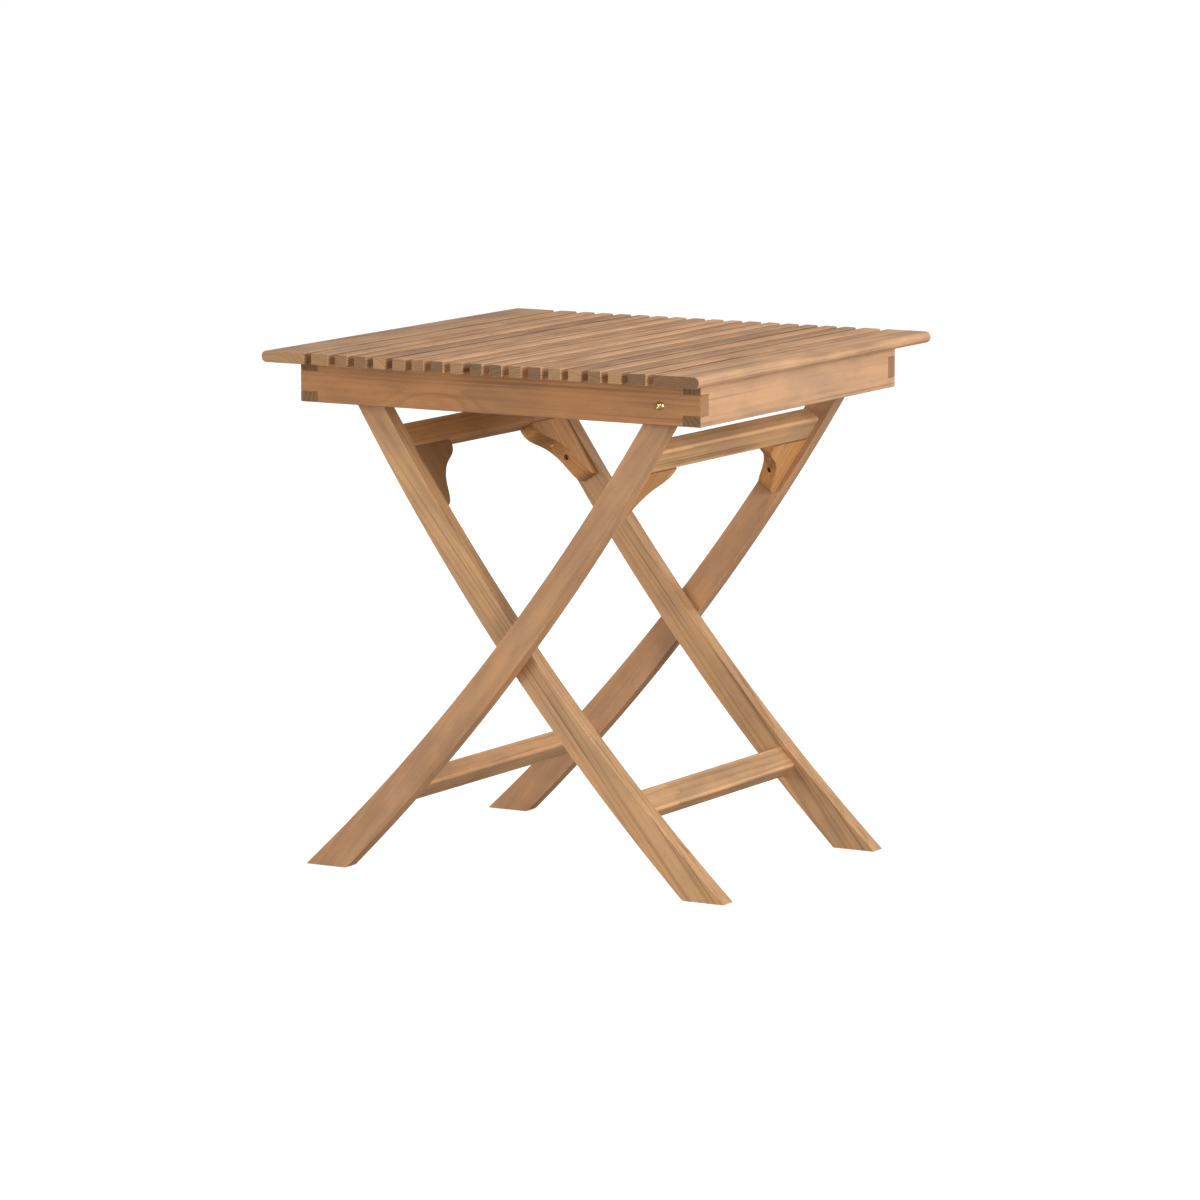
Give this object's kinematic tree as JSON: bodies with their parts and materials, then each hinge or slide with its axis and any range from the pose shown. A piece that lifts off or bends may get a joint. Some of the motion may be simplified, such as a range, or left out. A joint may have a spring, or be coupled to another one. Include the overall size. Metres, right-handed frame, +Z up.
{
  "type": "folding picnic table",
  "caption": "Square folding picnic table in teak: slatted top on a finger-jointed apron box, carried by two crossed, curved leg frames that scissor closed.",
  "frame": {"origin": "on the floor, under the middle of the table top", "axes": "+X along the front apron, towards the end whose legs are bolted to the apron; +Y from the front to the back, along the slats; +Z up"},
  "size_m": [0.706, 0.7, 0.75],
  "materials": {
    "slat_teak": "sanded, unfinished",
    "apron_teak": "sanded, unfinished",
    "leg_teak": "sanded, unfinished",
    "brass": "satin",
    "steel": "satin"
  },
  "bodies": {
    "table_top": {"slat_01": "slat_teak", "slat_02": "slat_teak", "slat_03": "slat_teak", "slat_04": "slat_teak", "slat_05": "slat_teak", "slat_06": "slat_teak", "slat_07": "slat_teak", "slat_08": "slat_teak", "slat_09": "slat_teak", "slat_10": "slat_teak", "slat_11": "slat_teak", "slat_12": "slat_teak", "slat_13": "slat_teak", "slat_14": "slat_teak", "slat_15": "slat_teak", "slat_16": "slat_teak", "slat_17": "slat_teak", "slat_18": "slat_teak", "slat_19": "slat_teak", "front_apron": "apron_teak", "back_apron": "apron_teak", "left_apron": "apron_teak", "right_apron": "apron_teak", "slat_batten": "apron_teak", "stop_cleat": "apron_teak", "top_pivot_bolt_near": "brass", "top_pivot_spacer_near": "brass", "top_pivot_washer_near": "steel", "top_pivot_nut_near": "steel", "top_pivot_bolt_far": "brass", "top_pivot_spacer_far": "brass", "top_pivot_washer_far": "steel", "top_pivot_nut_far": "steel"},
    "outer_frame": {"outer_leg_near": "leg_teak", "outer_leg_far": "leg_teak", "outer_upper_rail": "leg_teak", "outer_lower_rail": "leg_teak", "outer_bracket_near": "leg_teak", "outer_bracket_far": "leg_teak", "outer_leg_screw_near": "brass", "outer_leg_screw_far": "brass", "outer_rail_screw_near": "brass", "outer_rail_screw_far": "brass", "crossing_spacer_near": "brass", "crossing_bush_near": "brass", "crossing_spacer_far": "brass", "crossing_bush_far": "brass"},
    "inner_frame": {"inner_leg_near": "leg_teak", "inner_leg_far": "leg_teak", "inner_upper_rail": "leg_teak", "inner_lower_rail": "leg_teak", "inner_bracket_near": "leg_teak", "inner_bracket_far": "leg_teak", "inner_leg_screw_near": "brass", "inner_leg_screw_far": "brass", "inner_rail_screw_near": "brass", "inner_rail_screw_far": "brass", "crossing_pin_near": "steel", "crossing_pin_far": "steel"}
  },
  "joints": [
    {"name": "frame_crossing", "type": "hinge", "parent": "outer_frame", "child": "inner_frame", "pos_m": [0, 0, 0.3276], "axis": [0, 1, 0], "range_deg": [0, 62]},
    {"name": "outer_frame_pivot", "type": "hinge", "parent": "table_top", "child": "outer_frame", "pos_m": [0.26, 0, 0.7001], "axis": [0, 1, 0], "range_deg": [-34.1, 0]}
  ],
  "couplings": [
    {"joint": "outer_frame_pivot", "follows": "frame_crossing", "ratio": -0.55}
  ]
}
